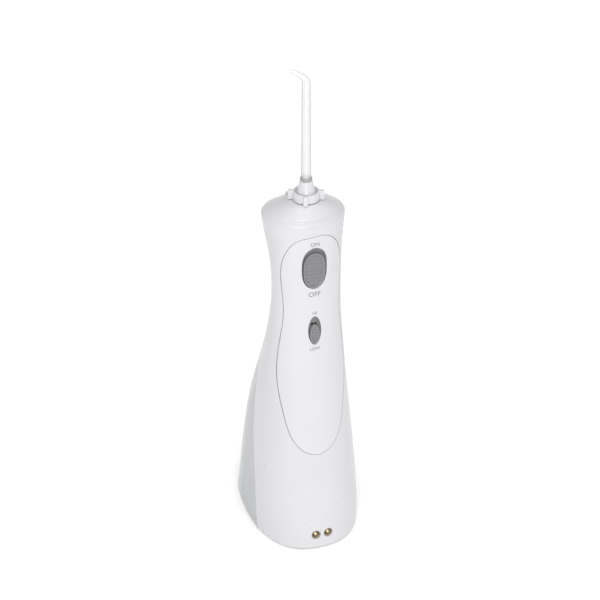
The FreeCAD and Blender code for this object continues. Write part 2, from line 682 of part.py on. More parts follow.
def gearbox_frame():
    """Chassis: motor plate below, cylinder plate above, and a stepped wall that holds the gear axle."""
    low = box(-11.0, 11.0, FRAME_Y0, MOTOR_Y + 9.0, MOTOR_Z1, MOTOR_Z1 + PLATE_T)
    low = low.cut(upright(0, MOTOR_Y, MOTOR_Z1 - 1, MOTOR_Z1 + 4, 3.1))
    high = box(-10.0, 10.0, STEP_Y, PISTON_Y + 4.4, CYL_Z0 - 1.5, CYL_Z0 + 1.0)
    high = high.cut(upright(0, PISTON_Y, CYL_Z0 - 3, CYL_Z0 + 3, CYL_R + FIT_GAP))
    wall = box(-6.5, 6.5, FRAME_Y0, FRAME_Y1, MOTOR_Z1, STEP_Z + 1.8)
    shelf = box(-6.5, 6.5, FRAME_Y0, STEP_Y + 1.4, STEP_Z, STEP_Z + 1.8)
    neck = box(-6.5, 6.5, STEP_Y, STEP_Y + 1.4, STEP_Z, CYL_Z0)
    ears = [box(x, x + 1.6, FRAME_Y0, MOTOR_Y + 9.0, MOTOR_Z1, MOTOR_Z1 + 5.5) for x in (-11.0, 9.4)]
    boss = across(FRAME_Y1, FRAME_Y1 + 1.0, 0, GEAR_Z, 3.6)
    frame = fuse([low, high, wall, shelf, neck, boss] + ears)
    frame = frame.cut(across(FRAME_Y0 - 1, FRAME_Y1 + 2, 0, GEAR_Z, AXLE_R))
    for x in (-7.6, 7.6):
        frame = frame.cut(upright(x, PISTON_Y, CYL_Z0 - 3, CYL_Z0 + 3, 0.7))
    for x in (-6.0, 6.0):
        frame = frame.cut(upright(x, MOTOR_Y, MOTOR_Z1 - 1, MOTOR_Z1 + 4, 0.9))
    return frame


def frame_screws():
    """Two cylinder screws and two motor screws, as separate solids."""
    screws = [screw(x, PISTON_Y, CYL_Z0 + 3.4, -1, 1.5, 0.7, 5.0) for x in (-7.6, 7.6)]
    screws += [screw(x, MOTOR_Y, MOTOR_Z1 + PLATE_T, -1, 1.5, 0.85, 2.4) for x in (-6.0, 6.0)]
    return Part.makeCompound(screws)


def valve_block():
    """Pump head: one chamber over the bore, an inlet arm at the side and an outlet spout on top."""
    core = upright(0, PISTON_Y, CYL_Z1, BLOCK_Z1, 6.0)
    arm = box(0, INLET_X, INLET_Y - 2.8, INLET_Y + 2.8, CYL_Z1 + 1.4, BLOCK_Z1 - 1.6)
    arm_end = upright(INLET_X, INLET_Y, CYL_Z1 + 1.4, BLOCK_Z1 - 1.6, 2.8)
    barb = upright(INLET_X, INLET_Y, CYL_Z1 - 3.0, CYL_Z1 + 1.4, 1.7)
    spout = upright(0, PISTON_Y, BLOCK_Z1, BLOCK_Z1 + 5.0, 1.9)
    block = fuse([core, arm, arm_end, barb, spout])
    block = block.cut(upright(0, PISTON_Y, CYL_Z1 - 1, BLOCK_Z1 - 4.6, 2.6))
    block = block.cut(upright(0, PISTON_Y, BLOCK_Z1 - 5, BLOCK_Z1 - 1.5, 1.9))
    block = block.cut(upright(0, PISTON_Y, BLOCK_Z1 - 2, BLOCK_Z1 + 6, 1.0))
    block = block.cut(upright(INLET_X, INLET_Y, CYL_Z1 - 4, CYL_Z1 + 4.2, 0.9))
    block = block.cut(rod(V(0, INLET_Y, CYL_Z1 + 3.2), V(1, 0, 0), INLET_X, 0.9))
    return block.cut(upright(INLET_X, INLET_Y, CYL_Z1 + 1.9, CYL_Z1 + 5.4, 1.8))


def inlet_valve():
    return Part.makeSphere(1.45, V(INLET_X, INLET_Y, CYL_Z1 + 3.6))


def outlet_valve():
    return Part.makeSphere(1.5, V(0, PISTON_Y, BLOCK_Z1 - 3.3))


def tip_seat():
    seat = fuse([upright(0, TIP_Y, SEAT_Z0, SEAT_Z1, 5.0), upright(0, TIP_Y, SEAT_Z0 - 6, SEAT_Z0, 1.9)])
    seat = seat.cut(upright(0, TIP_Y, SEAT_Z0 + 5.4, SEAT_Z1 + 1, SHANK_R + RUN_GAP))
    seat = seat.cut(upright(0, TIP_Y, SEAT_Z0 - 7, SEAT_Z0 + 6, 1.0))
    return seat.cut(upright(0, TIP_Y, 208.6, 210.4, 3.9))


def seat_oring():
    return ring(0, TIP_Y, 208.65, 210.35, 3.85, SHANK_R + RUN_GAP)


def head_plate():
    plate = body_solid(WALL + FIT_GAP).common(box(-FAR, FAR, -FAR, FAR, PLATE_Z0, PLATE_Z1))
    plate = plate.cut(upright(0, TIP_Y, PLATE_Z0 - 1, PLATE_Z1 + 1, 5.0))
    return plate.cut(box(6.5, 9.0, TIP_Y + 9, TIP_Y + 12, PLATE_Z0 - 1, PLATE_Z1 + 1))


def tip_knob():
    """Finger collar with four fins, a cone over it, and a hub that turns in the head."""
    collar = upright(0, TIP_Y, COLLAR_Z, COLLAR_Z + COLLAR_H, COLLAR_R)
    edges = [e for e in collar.Edges if e.Closed and abs(e.CenterOfMass.z - COLLAR_Z - COLLAR_H) < 0.01]
    collar = collar.makeFillet(0.8, edges)
    cone_z = COLLAR_Z + COLLAR_H - 0.6
    cone = Part.makeCone(CONE_FOOT_R, CONE_TOP_R, CONE_TOP_Z - cone_z, V(0, TIP_Y, cone_z), V(0, 0, 1))
    fins = []
    for i in range(FIN_COUNT):
        fin = box(6.2, FIN_R, -1.1, 1.1, COLLAR_Z, COLLAR_Z + COLLAR_H + 0.3)
        tall = [e for e in fin.Edges if abs(e.CenterOfMass.x - FIN_R) < 0.01]
        fin = fin.makeFillet(0.5, tall)
        fin.translate(V(0, TIP_Y, 0))
        fin.rotate(V(0, TIP_Y, 0), V(0, 0, 1), NOZZLE_HEADING_DEG + 360.0 * i / FIN_COUNT)
        fins.append(fin)
    hub = upright(0, TIP_Y, 215.9, COLLAR_Z + 0.1, 6.0)
    knob = fuse([collar, cone, hub] + fins)
    knob = knob.cut(upright(0, TIP_Y, 200, 240, SHANK_R + RUN_GAP))
    return knob.cut(ring(0, TIP_Y, 217.4, 218.4, 7.0, 5.2))


def knob_retainer():
    clip = ring(0, TIP_Y, 217.45, 218.35, 7.6, 5.25)
    return clip.cut(box(-1.6, 1.6, TIP_Y - 9, TIP_Y - 4, 217, 219))


def nozzle_direction():
    tilt, heading = math.radians(NOZZLE_TILT_DEG), math.radians(NOZZLE_HEADING_DEG)
    return V(math.sin(tilt) * math.cos(heading), math.sin(tilt) * math.sin(heading), math.cos(tilt))


def bent_taper(z0, r0, r_bend, r_end, overshoot):
    """A tapering stem that rises, bends once and ends along the nozzle's direction."""
    corner = V(0, TIP_Y, TIP_BEND_Z)
    d = nozzle_direction()
    turn = math.radians(NOZZLE_TILT_DEG)
    bend_r = 4.0
    trim = bend_r * math.tan(turn / 2)
    stem_top = corner - V(0, 0, trim)
    side = V(d.x, d.y, 0).normalize()
    centre = stem_top + side * bend_r
    wires = []
    steps = 4
    stem = Part.makeCone(r0, r_bend, stem_top.z - z0, V(0, TIP_Y, z0), V(0, 0, 1))
    for i in range(steps + 1):
        a = turn * i / steps
        p = centre - side * (bend_r * math.cos(a)) + V(0, 0, bend_r * math.sin(a))
        direction = side * math.sin(a) + V(0, 0, math.cos(a))
        r = r_bend + (r_end - r_bend) * 0.35 * i / steps
        wires.append(Part.Wire([Part.Circle(p, direction, r).toShape()]))
    bend = Part.makeLoft(wires, True, False)
    start = corner + d * trim
    r_start = r_bend + (r_end - r_bend) * 0.35
    nozzle = Part.makeCone(r_start, r_end, NOZZLE_LEN - trim + overshoot, start, d)
    return fuse([stem, bend, nozzle])


def jet_tip():
    outer = bent_taper(CONE_TOP_Z, 2.75, 2.25, 1.15, 0)
    shank = upright(0, TIP_Y, SHANK_BOTTOM_Z, CONE_TOP_Z, SHANK_R)
    neck = ring(0, TIP_Y, 213.9, 215.3, 4, 2.2)
    bore = bent_taper(SHANK_BOTTOM_Z - 1, 1.5, 1.1, 0.45, 1)
    return fuse([outer, shank]).cut(neck).cut(bore)


def tip_ring():
    band = ring(0, TIP_Y, CONE_TOP_Z + 0.1, CONE_TOP_Z + 1.5, 3.35, 2.76)
    edges = [e for e in band.Edges if e.Closed and e.BoundBox.XLength > 6.0]
    return band.makeFillet(0.3, edges)


def eject_button():
    """Release button at the back of the dome; its crown stands just above the cap."""
    raised_rows = [(z + 1.7, w, f, b) for z, w, f, b in dome_rows(0)]
    raised = loft(raised_rows, 0)
    crown = eject_prism(0).common(raised).common(box(-20, 20, -40, 20, 217.6, 240))
    leg = box(-3.0, 3.0, LEG_Y0, LEG_Y1, 210.2, 217.8)
    return fuse([crown, leg])


def eject_spring():
    """Return spring under the release button."""
    z0, z1, r, wire_r = PLATE_Z1, 210.2, 1.9, 0.25
    coil_h = z1 - z0 - 4 * wire_r
    helix = Part.makeHelix(coil_h / 3.5, coil_h, r)
    profile = Part.Wire([Part.Circle(V(r, 0, 0), V(0, 1, 0.2), wire_r).toShape()])
    coil = Part.Wire(helix).makePipeShell([profile], True, True)
    y = (LEG_Y0 + LEG_Y1) / 2
    coil.translate(V(0, y, z0 + 2 * wire_r))
    ends = [torus(0, y, z0 + wire_r, r, wire_r), torus(0, y, z1 - wire_r, r, wire_r)]
    return Part.makeCompound([coil.removeSplitter()] + ends)


def tip_latch():
    """Sliding gate round the tip's neck; the release button pushes it back."""
    plate = box(-5.2, 5.2, TIP_Y - 6.5, LEG_Y1 + 1.2, 213.9, 215.3)
    plate = plate.cut(box(-3.3, 3.3, LEG_Y0 - 0.3, LEG_Y1 + 0.3, 213, 216))
    hole = fuse([upright(0, TIP_Y, 213, 216, SHANK_R + 0.2),
                 upright(0, TIP_Y - 1.3, 213, 216, SHANK_R + 0.2),
                 box(-SHANK_R - 0.2, SHANK_R + 0.2, TIP_Y - 1.3, TIP_Y, 213, 216)])
    return plate.cut(hole)


def outlet_hose():
    route = [V(0, PISTON_Y, BLOCK_Z1 + 0.4), V(0, PISTON_Y, BLOCK_Z1 + 9.0), V(0, TIP_Y, SEAT_Z0 - 9.5),
             V(0, TIP_Y, SEAT_Z0 - 0.4)]
    return hose(route, 2.9, 1.9)


def inlet_spout():
    """Nipple on the body that plugs down into the tank's port."""
    stem = upright(0, PORT_Y, 108.8, 124.0, 1.7)
    plug = upright(0, PORT_Y, 108.8, 119.6, PORT_R - 0.05)
    flange = upright(0, PORT_Y, 119.5, 120.7, 3.2)
    spout = fuse([stem, plug, flange]).cut(upright(0, PORT_Y, 100, 130, 1.0))
    return spout.cut(ring(0, PORT_Y, 111.0, 112.4, 4.0, 1.65))


def spout_oring():
    return ring(0, PORT_Y, 111.05, 112.35, PORT_R - 0.02, 1.66)


def inlet_hose():
    route = [V(0, PORT_Y, 120.9), V(0, PORT_Y, 126.0),
             V(8.0, PISTON_Y + 9.0, 144.0), V(INLET_X, INLET_Y, 153.0),
             V(INLET_X, INLET_Y, CYL_Z1 + 1.2)]
    return hose(route, 2.4, 1.7)


def door_slab(grow, n0, n1):
    slab = rounded_slab(DOOR_W + 2 * grow, DOOR_H + 2 * grow, DOOR_CORNER_R + grow, n0, n1)
    slab.translate(V(0, 0, -grow))
    return lean(slab)


def hinge_rod(x0, x1, r):
    return lean(rod(V(x0, HINGE_OUT, -HINGE_DROP), V(1, 0, 0), x1 - x0, r))


def reservoir():
    """Clear tank: its skin carries on the body's shape, and its own front and top walls close it."""
    gap = tank_region(-SEAM_GAP, -SEAM_GAP)
    inside = tank_region(-SEAM_GAP - TANK_WALL, -SEAM_GAP - TANK_WALL)
    solid = SKIN.common(gap)
    cavity = body_solid(TANK_WALL).common(inside).common(box(-FAR, FAR, -FAR, FAR, 2.8, 140))
    tank = solid.cut(cavity)
    boss = upright(0, PORT_Y, 103.0, 121.0, 4.4).common(solid)
    tank = tank.fuse(boss).cut(upright(0, PORT_Y, 100, 130, PORT_R + 0.05))
    tank = tank.cut(door_slab(-DOOR_LIP, -12, 12)).cut(door_slab(0.3, -12, 12).cut(body_solid(DOOR_T + 0.1)))
    channel = hinge_rod(-8.5, 8.5, KNUCKLE_R + 0.35)
    tank = tank.cut(channel).cut(lean(box(-8.5, 8.5, -0.9, 3.0, -HINGE_DROP, 0.6)))
    lugs = []
    for x0 in (-12.4, 8.6):
        web = lean(box(x0, x0 + 3.8, -3.0, HINGE_OUT, -HINGE_DROP - 2.0, -HINGE_DROP + 1.4))
        lugs.append(hinge_rod(x0, x0 + 3.8, KNUCKLE_R).fuse(web).cut(body_solid(TANK_WALL * 0.5)))
    tank = tank.multiFuse(lugs)
    return tank.cut(hinge_rod(-12.4, 12.4, HINGE_PIN_R))


def reservoir_door():
    panel = door_slab(0, -12, 12).common(OUTER).cut(body_solid(DOOR_T))
    web = lean(box(-8.0, 8.0, -0.4, HINGE_OUT, -HINGE_DROP, 3.0))
    knuckle = hinge_rod(-8.0, 8.0, KNUCKLE_R)
    tab = lean(box(-6.0, 6.0, -2.0, 2.2, DOOR_H - 2.6, DOOR_H - 0.4))
    door = fuse([panel, web.cut(body_solid(DOOR_T * 0.5)), knuckle, tab.cut(body_solid(DOOR_T * 0.5))])
    return door.cut(hinge_rod(-8.5, 8.5, HINGE_PIN_R + RUN_GAP))


def door_seal():
    lip = DOOR_LIP + 0.35
    outer = door_slab(-lip, -14, 12).cut(door_slab(-lip - 1.3, -14, 12))
    return outer.common(body_solid(DOOR_T)).cut(body_solid(DOOR_T + 1.9))


def door_hinge_pin():
    return hinge_rod(-12.2, 12.2, HINGE_PIN_R)


def uptake_tube():
    route = [V(0, PORT_Y, 108.0), V(0, PORT_Y, 84.0), V(0, PORT_Y - 5.0, 62.0), V(0, PORT_Y - 5.0, 30.0),
             V(0, PORT_Y - 9.0, 12.0)]
    return hose(route, PORT_R, 1.3)


def inlet_filter():
    tilt = V(0, PORT_Y - 9.0, 12.0) - V(0, PORT_Y - 5.0, 30.0)
    d = V(tilt).normalize()
    end = V(0, PORT_Y - 9.0, 12.0)
    body = rod(end - d * 5.0, d, 11.0, 4.0).cut(rod(end - d * 6.0, d, 6.0, PORT_R))
    for i in range(6):
        slit = rod(end + d * 2.2, d, 2.4, 0.7)
        slit.translate(V(3.6, 0, 0))
        slit.rotate(end, d, 60.0 * i)
        body = body.cut(slit)
    return body


def cover_screws():
    return Part.makeCompound([screw(x, y, 1.6, 1, 2.2, 1.2, 6.0) for x, y in COVER_SCREWS])


def write_parts():
    os.makedirs("parts", exist_ok=True)
    makers = {
        "front_housing": front_housing, "rear_housing": rear_housing, "control_panel": control_panel,
        "top_cap": top_cap, "bottom_cover": bottom_cover, "cover_screws": cover_screws,
        "power_slider": lambda: slider(POWER), "power_slot_liner": lambda: liner(POWER),
        "power_switch": lambda: switch_body(POWER),
        "pressure_slider": lambda: slider(PRESSURE), "pressure_slot_liner": lambda: liner(PRESSURE),
        "pressure_switch": lambda: switch_body(PRESSURE),
        "circuit_board": circuit_board, "board_parts": board_parts,
        "contact_holder": contact_holder, "charge_contacts": charge_contacts,
        "battery_holder": battery_holder, "battery_tabs": battery_tabs,
        "motor_can": motor_can, "motor_end_cap": motor_end_cap, "motor_shaft": motor_shaft, "pinion": pinion,
        "gearbox_frame": gearbox_frame, "frame_screws": frame_screws, "drive_gear": drive_gear,
        "gear_axle": gear_axle, "crank_pin": crank_pin, "connecting_rod": connecting_rod,
        "wrist_pin": wrist_pin, "piston": piston, "piston_seal": piston_seal, "pump_cylinder": pump_cylinder,
        "valve_block": valve_block, "inlet_valve": inlet_valve, "outlet_valve": outlet_valve,
        "inlet_hose": inlet_hose, "outlet_hose": outlet_hose, "inlet_spout": inlet_spout,
        "spout_oring": spout_oring, "head_plate": head_plate, "tip_seat": tip_seat, "seat_oring": seat_oring,
        "tip_knob": tip_knob, "knob_retainer": knob_retainer, "jet_tip": jet_tip, "tip_ring": tip_ring,
        "eject_button": eject_button, "eject_spring": eject_spring, "tip_latch": tip_latch,
        "reservoir": reservoir, "reservoir_door": reservoir_door, "door_seal": door_seal,
        "door_hinge_pin": door_hinge_pin, "uptake_tube": uptake_tube, "inlet_filter": inlet_filter,
    }
    for name, x in zip(("battery_cell_left", "battery_cell_middle", "battery_cell_right"), CELL_X):
        makers[name] = lambda x=x: battery_cell(x)
    for name, make in makers.items():
        shape = make()
        solids = len(shape.Solids)
        print(name, "solids", solids, "volume", round(shape.Volume, 1), "valid", shape.isValid())
        shape.exportStep("parts/" + name + ".step")


write_parts()
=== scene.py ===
import json
import math

import bmesh
import bpy
import numpy as np
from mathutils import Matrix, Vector

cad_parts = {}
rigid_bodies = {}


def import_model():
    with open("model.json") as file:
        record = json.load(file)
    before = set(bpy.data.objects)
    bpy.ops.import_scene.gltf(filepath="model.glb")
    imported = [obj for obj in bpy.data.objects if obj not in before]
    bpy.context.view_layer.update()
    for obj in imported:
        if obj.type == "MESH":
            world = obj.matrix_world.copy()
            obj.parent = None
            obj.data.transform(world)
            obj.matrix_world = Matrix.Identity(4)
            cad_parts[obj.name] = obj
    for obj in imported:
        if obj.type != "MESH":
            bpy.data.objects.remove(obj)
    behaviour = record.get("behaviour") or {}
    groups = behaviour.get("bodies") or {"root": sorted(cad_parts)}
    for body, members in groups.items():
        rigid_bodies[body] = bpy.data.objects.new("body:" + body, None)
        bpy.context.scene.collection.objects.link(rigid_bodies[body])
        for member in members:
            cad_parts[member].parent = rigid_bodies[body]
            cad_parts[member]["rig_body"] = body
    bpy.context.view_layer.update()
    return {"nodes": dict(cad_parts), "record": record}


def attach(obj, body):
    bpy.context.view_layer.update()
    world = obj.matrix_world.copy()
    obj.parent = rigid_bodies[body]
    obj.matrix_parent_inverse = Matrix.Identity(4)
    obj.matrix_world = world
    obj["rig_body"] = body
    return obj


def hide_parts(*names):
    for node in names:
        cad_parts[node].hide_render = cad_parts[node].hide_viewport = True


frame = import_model()
NODES = frame["nodes"]
MM = 0.001

# ---------------------------------------------------------------- body skin, as the CAD draws it (mm)
TIP_Y = -20.5
RIM_Z = 212.0
ROW_Z = [0.0, 10.0, 35.0, 64.0, 95.0, 125.0, 150.0, 170.0, 190.0, 212.0]
HALF_WIDTH = [33.4, 33.6, 32.7, 30.5, 27.0, 23.2, 20.6, 19.8, 20.6, 23.3]
FRONT_Y = [-50.9, -50.1, -46.2, -42.3, -39.0, -36.5, -35.2, -34.8, -35.1, -35.5]
BACK_Y = [49.4, 44.6, 37.0, 30.6, 20.3, 5.7, -2.8, -6.0, -2.0, 5.0]
BASE_SQUARENESS = 2.4
HEAD_SQUARENESS = 2.1
# The walls start above the rounded bottom edge, which keeps the frame's own mesh.
WALLS = (2.3, 400.0)
FINER_PASSES = 2
# A corner takes the surface's normal where its face turns less than about 30 degrees from it.
SAME_WAY = 0.86
DOME_TOP_Z = 222.0
DOME_SEAT_R = 8.3
DOME_BULGE = 1.25
CREASE_R = 1.6
CREASE_TURN = math.radians(52.0)


def natural_spline(xs, ys):
    """Second derivatives of the cubic through the given rows."""
    n = len(xs)
    h = np.diff(xs)
    a = np.zeros((n, n))
    r = np.zeros(n)
    a[0, 0] = a[-1, -1] = 1
    for i in range(1, n - 1):
        a[i, i - 1], a[i, i], a[i, i + 1] = h[i - 1], 2 * (h[i - 1] + h[i]), h[i]
        r[i] = 6 * ((ys[i + 1] - ys[i]) / h[i] - (ys[i] - ys[i - 1]) / h[i - 1])
    return np.linalg.solve(a, r)


ROW_Z_ARRAY = np.array(ROW_Z)
CURVES = [(np.array(ys), natural_spline(ROW_Z, ys)) for ys in (HALF_WIDTH, FRONT_Y, BACK_Y)]


def spline_at(curve, z):
    ys, m = curve
    i = np.clip(np.searchsorted(ROW_Z_ARRAY, z) - 1, 0, len(ys) - 2)
    h = ROW_Z_ARRAY[i + 1] - ROW_Z_ARRAY[i]
    a, b = (ROW_Z_ARRAY[i + 1] - z) / h, (z - ROW_Z_ARRAY[i]) / h
    return a * ys[i] + b * ys[i + 1] + ((a ** 3 - a) * m[i] + (b ** 3 - b) * m[i + 1]) * h * h / 6


def body_level(z):
    """Half width, front and back of the outer skin at each height."""
    w, f, b = (spline_at(c, np.clip(z, 0.0, RIM_Z)) for c in CURVES)
    return w, f, b


def dome_level(z):
    """The same for the dome, from the rim up to the knob's seat."""
    w0, f0, b0 = HALF_WIDTH[-1], FRONT_Y[-1], BACK_Y[-1]
    lift = np.clip((z - RIM_Z) / CREASE_R, 0.0, math.sin(CREASE_TURN))
    edge = CREASE_R * (1 - np.sqrt(1 - lift ** 2))
    start = RIM_Z + CREASE_R * math.sin(CREASE_TURN)
    up = np.clip((z - start) / (DOME_TOP_Z - start), 0.0, 1.0)
    inward = 1 - (1 - up) ** (1 / DOME_BULGE)
    w, f, b = w0 - edge, f0 + edge, b0 - edge
    return (w + (DOME_SEAT_R - w) * inward, f + (TIP_Y - DOME_SEAT_R - f) * inward,
            b + (TIP_Y + DOME_SEAT_R - b) * inward)


def squareness(z):
    return BASE_SQUARENESS + (HEAD_SQUARENESS - BASE_SQUARENESS) * np.clip(z / RIM_Z, 0.0, 1.0)


def implicit(level, inset, p):
    """Below 0 inside the skin and above 0 outside it, in millimetres near the skin. p is rows of x, y, z."""
    w, f, b = level(p[:, 2])
    a, h, m = w - inset, (b - f) / 2 - inset, (f + b) / 2
    n = squareness(p[:, 2])
    r = (np.abs(p[:, 0] / a) ** n + np.abs((p[:, 1] - m) / h) ** n) ** (1 / n)
    return (r - 1) * np.minimum(a, h)


def gradient(level, inset, p):
    d = 0.05
    g = np.zeros_like(p)
    for k in range(3):
        step = np.zeros(3)
        step[k] = d
        g[:, k] = (implicit(level, inset, p + step) - implicit(level, inset, p - step)) / (2 * d)
    return g


def snapped(level, inset, p):
    """The nearest points of the skin."""
    q = p.copy()
    for _ in range(3):
        g = gradient(level, inset, q)
        q -= g * (implicit(level, inset, q) / np.maximum((g ** 2).sum(1), 1e-9))[:, None]
    return q


def skin_marks(level, insets, tol, z_limits, p):
    """For each point, 1 + the number of the skin it lies on, or 0."""
    marks = np.zeros(len(p), int)
    inside = (p[:, 2] >= z_limits[0]) & (p[:, 2] <= z_limits[1])
    for k, inset in enumerate(insets):
        on = inside & (np.abs(implicit(level, inset, p)) < tol) & (marks == 0)
        marks[on] = k + 1
    return marks


def skinned_copy(node, level, insets, name, max_edge=2.4, tol=0.35, z_limits=WALLS):
    """A CAD node's mesh with its skin made finer, laid on the true surface with that surface's normals."""
    src = NODES[node]
    bm = bmesh.new()
    bm.from_mesh(src.data)
    bmesh.ops.remove_doubles(bm, verts=bm.verts, dist=1e-6)

    def coords():
        return np.array([v.co for v in bm.verts]) / MM

    for _ in range(FINER_PASSES):
        bm.verts.index_update()
        marks = skin_marks(level, insets, tol, z_limits, coords())
        long_edges = [e for e in bm.edges if marks[e.verts[0].index]
                      and marks[e.verts[0].index] == marks[e.verts[1].index]
                      and e.calc_length() > max_edge * MM]
        if not long_edges:
            break
        count = len(bm.verts)
        bmesh.ops.subdivide_edges(bm, edges=long_edges, cuts=1)
        bmesh.ops.triangulate(bm, faces=[f for f in bm.faces if len(f.verts) > 3])
        bm.verts.index_update()
        p = coords()
        fresh = np.arange(len(p)) >= count
        marks = skin_marks(level, insets, tol, z_limits, p)
        for k, inset in enumerate(insets):
            pick = np.nonzero(fresh & (marks == k + 1))[0]
            if len(pick):
                moved = snapped(level, inset, p[pick])
                bm.verts.ensure_lookup_table()
                for i, q in zip(pick, moved):
                    bm.verts[i].co = Vector(q) * MM
    bm.normal_update()
    bm.verts.index_update()
    p = coords()
    marks = skin_marks(level, insets, tol, z_limits, p)
    own = np.zeros_like(p)
    for k, inset in enumerate(insets):
        pick = marks == k + 1
        g = gradient(level, inset, p[pick])
        own[pick] = g / np.linalg.norm(g, axis=1)[:, None] * (1 if k == 0 else -1)
    mesh = bpy.data.meshes.new(name)
    bm.to_mesh(mesh)
    bm.free()
    obj = bpy.data.objects.new(name, mesh)
    bpy.context.scene.collection.objects.link(obj)
    smooth_by_angle(mesh, 32)
    corner_vertex = np.zeros(len(mesh.loops), int)
    mesh.loops.foreach_get("vertex_index", corner_vertex)
    face_of_corner = np.repeat(np.arange(len(mesh.polygons)), [len(f.vertices) for f in mesh.polygons])
    face_normals = np.zeros(len(mesh.polygons) * 3)
    mesh.polygons.foreach_get("normal", face_normals)
    face_normals = face_normals.reshape(-1, 3)[face_of_corner]
    normals = own[corner_vertex]
    normals[(normals * face_normals).sum(1) < SAME_WAY] = 0
    mesh.normals_split_custom_set(normals.tolist())
    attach(obj, src["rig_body"])
    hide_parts(node)
    return obj


def smooth_by_angle(mesh, degrees):
    for poly in mesh.polygons:
        poly.use_smooth = True
    bm = bmesh.new()
    bm.from_mesh(mesh)
    limit = math.radians(degrees)
    for e in bm.edges:
        e.smooth = len(e.link_faces) == 2 and e.calc_face_angle(0) < limit
    bm.to_mesh(mesh)
    bm.free()


# ---------------------------------------------------------------- materials
COAT_ROUGHNESS = 0.1
PLASTIC_IOR = 1.49
CLEAR_EDGE_WIDTH = 0.42


def new_material(name, color, rough, metallic=0.0, coat=0.0, ior=1.5):
    m = bpy.data.materials.new(name)
    m.use_nodes = True
    b = m.node_tree.nodes["Principled BSDF"]
    b.inputs["Base Color"].default_value = (*color, 1)
    b.inputs["Roughness"].default_value = rough
    b.inputs["Metallic"].default_value = metallic
    b.inputs["Coat Weight"].default_value = coat
    b.inputs["Coat Roughness"].default_value = COAT_ROUGHNESS
    b.inputs["IOR"].default_value = ior
    return m, m.node_tree, b


def noise_node(tree, scale, detail=3.0, rough=0.5, stretch=(1, 1, 1)):
    coords = tree.nodes.new("ShaderNodeTexCoord")
    mapping = tree.nodes.new("ShaderNodeMapping")
    mapping.inputs["Scale"].default_value = stretch
    n = tree.nodes.new("ShaderNodeTexNoise")
    n.inputs["Scale"].default_value = scale
    n.inputs["Detail"].default_value = detail
    n.inputs["Roughness"].default_value = rough
    tree.links.new(coords.outputs["Object"], mapping.inputs["Vector"])
    tree.links.new(mapping.outputs["Vector"], n.inputs["Vector"])
    return n.outputs["Fac"]


def remap(tree, value, low, high):
    r = tree.nodes.new("ShaderNodeMapRange")
    r.inputs["From Min"].default_value = 0.3
    r.inputs["From Max"].default_value = 0.7
    r.inputs["To Min"].default_value = low
    r.inputs["To Max"].default_value = high
    tree.links.new(value, r.inputs["Value"])
    return r.outputs["Result"]


def two_tones(tree, value, a, b):
    ramp = tree.nodes.new("ShaderNodeValToRGB")
    ramp.color_ramp.elements[0].position = 0.3
    ramp.color_ramp.elements[1].position = 0.7
    ramp.color_ramp.elements[0].color = (*a, 1)
    ramp.color_ramp.elements[1].color = (*b, 1)
    tree.links.new(value, ramp.inputs["Fac"])
    return ramp.outputs["Color"]


def bump(tree, bsdf, height, strength, distance, edge_radius=0.0):
    """Fine relief on the surface, over edges softened by the radius a mould leaves."""
    b = tree.nodes.new("ShaderNodeBump")
    b.inputs["Strength"].default_value = strength
    b.inputs["Distance"].default_value = distance
    tree.links.new(height, b.inputs["Height"])
    if edge_radius:
        soft = tree.nodes.new("ShaderNodeBevel")
        soft.samples = 4
        soft.inputs["Radius"].default_value = edge_radius
        tree.links.new(soft.outputs["Normal"], b.inputs["Normal"])
    tree.links.new(b.outputs["Normal"], bsdf.inputs["Normal"])


def moulded(name, dark, light, rough, spread=0.04, grain=900.0, depth=0.05, coat=0.0, edge=0.0):
    """Moulded plastic: faint tone and gloss variation, and a fine skin texture."""
    m, tree, b = new_material(name, light, rough, coat=coat)
    tone = noise_node(tree, 45.0, 4.0)
    tree.links.new(two_tones(tree, tone, dark, light), b.inputs["Base Color"])
    gloss = noise_node(tree, 120.0, 5.0, 0.6)
    tree.links.new(remap(tree, gloss, rough - spread, rough + spread), b.inputs["Roughness"])
    bump(tree, b, noise_node(tree, grain, 2.0), depth, 0.0001, edge)
    return m


def clear(name, face, edge, rough, face_alpha, edge_alpha):
    """Thin clear plastic: mostly see-through face on, and greyer and denser where it turns edge on. The
    greyer edge-on colour is painted shade, standing in for the dark limb that refraction shows there.
    """
    m, tree, b = new_material(name, face, rough, ior=PLASTIC_IOR)
    turn = tree.nodes.new("ShaderNodeLayerWeight")
    turn.inputs["Blend"].default_value = CLEAR_EDGE_WIDTH
    # Painted shade: the colour turns from the clear face colour to the grey edge colour as the wall turns
    # edge on.
    tone = tree.nodes.new("ShaderNodeMix")
    tone.data_type = "RGBA"
    sockets = [i for i in tone.inputs if i.type == "RGBA"]
    sockets[0].default_value = (*face, 1)
    sockets[1].default_value = (*edge, 1)
    tree.links.new(turn.outputs["Facing"], tone.inputs[0])
    tree.links.new([o for o in tone.outputs if o.type == "RGBA"][0], b.inputs["Base Color"])
    density = tree.nodes.new("ShaderNodeMapRange")
    density.inputs["To Min"].default_value = face_alpha
    density.inputs["To Max"].default_value = edge_alpha
    tree.links.new(turn.outputs["Facing"], density.inputs["Value"])
    tree.links.new(density.outputs["Result"], b.inputs["Alpha"])
    tree.links.new(remap(tree, noise_node(tree, 90.0, 4.0), max(0.0, rough - 0.02), rough + 0.03),
                   b.inputs["Roughness"])
    return m


def brushed(name, dark, light, rough, stretch=(1, 1, 40), scale=60.0):
    m, tree, b = new_material(name, light, rough, metallic=1.0)
    lines = noise_node(tree, scale, 4.0, 0.6, stretch)
    tree.links.new(two_tones(tree, lines, dark, light), b.inputs["Base Color"])
    tree.links.new(remap(tree, lines, rough - 0.06, rough + 0.08), b.inputs["Roughness"])
    bump(tree, b, lines, 0.08, 0.0001)
    return m


